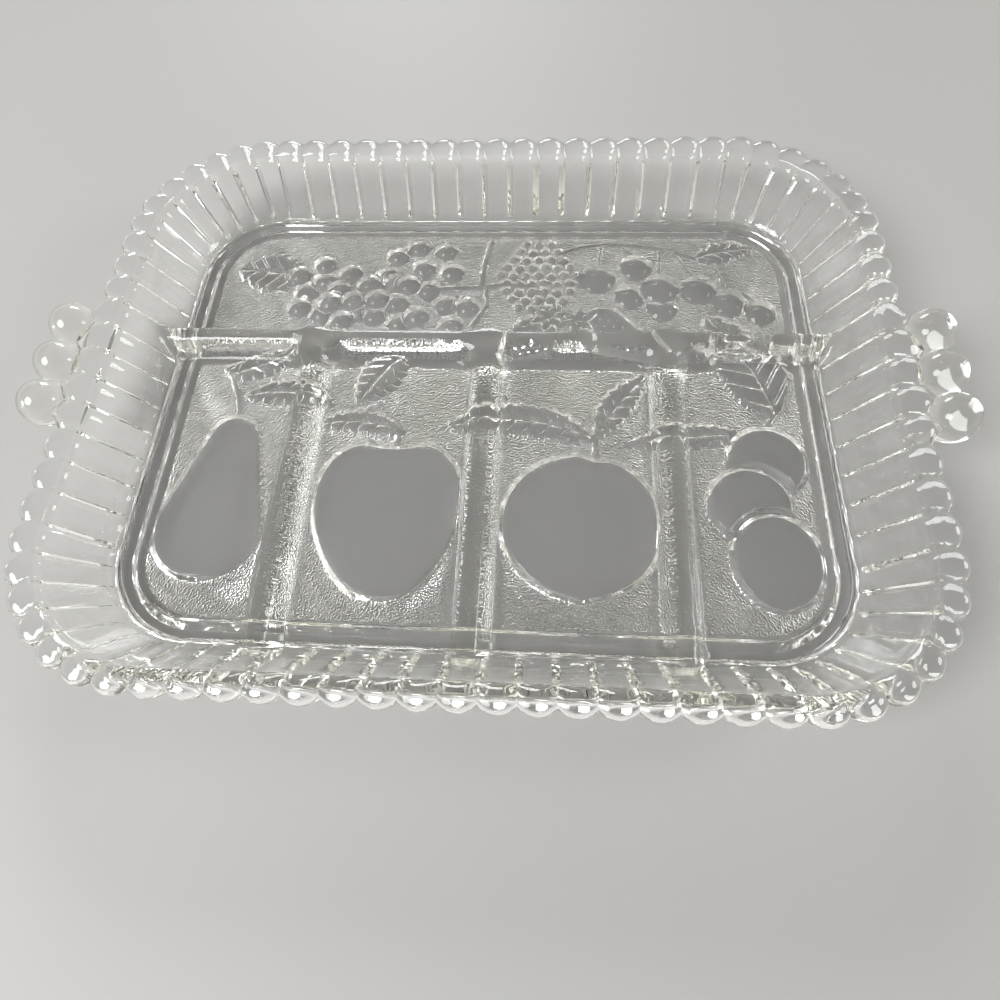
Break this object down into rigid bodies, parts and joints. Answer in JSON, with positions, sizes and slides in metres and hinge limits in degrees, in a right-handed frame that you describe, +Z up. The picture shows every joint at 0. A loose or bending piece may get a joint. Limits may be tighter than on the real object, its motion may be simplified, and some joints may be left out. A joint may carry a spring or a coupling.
{
  "type": "relish tray",
  "caption": "Divided relish tray in clear pressed glass, with fluted walls, a scalloped lip, rounded dividers, fruit relief under the floor and a beaded handle at each end.",
  "frame": {"origin": "centre of the tray's footprint, on the plane that it stands on", "axes": "+X along the tray's length towards one beaded handle, +Y from the small compartments to the long one, +Z up out of the open compartments"},
  "size_m": [0.3298, 0.2336, 0.0347],
  "materials": {
    "clear_glass": "smooth fire-polished clear glass with a faint warm tint in its thick edges",
    "stippled_clear_glass": "clear glass, smooth above, with fruit relief and a fine stippled ground underneath"
  },
  "bodies": {
    "root": {"back_floor": "stippled_clear_glass", "pear_floor": "stippled_clear_glass", "apple_floor": "stippled_clear_glass", "peach_floor": "stippled_clear_glass", "plum_floor": "stippled_clear_glass", "foot_ring": "clear_glass", "back_wall": "clear_glass", "front_wall": "clear_glass", "left_wall": "clear_glass", "right_wall": "clear_glass", "back_left_corner": "clear_glass", "back_right_corner": "clear_glass", "front_left_corner": "clear_glass", "front_right_corner": "clear_glass", "long_divider": "clear_glass", "left_cross_divider": "clear_glass", "middle_cross_divider": "clear_glass", "right_cross_divider": "clear_glass", "left_handle_web": "clear_glass", "right_handle_web": "clear_glass", "left_back_bead": "clear_glass", "left_middle_bead": "clear_glass", "left_front_bead": "clear_glass", "right_back_bead": "clear_glass", "right_middle_bead": "clear_glass", "right_front_bead": "clear_glass"}
  },
  "joints": []
}
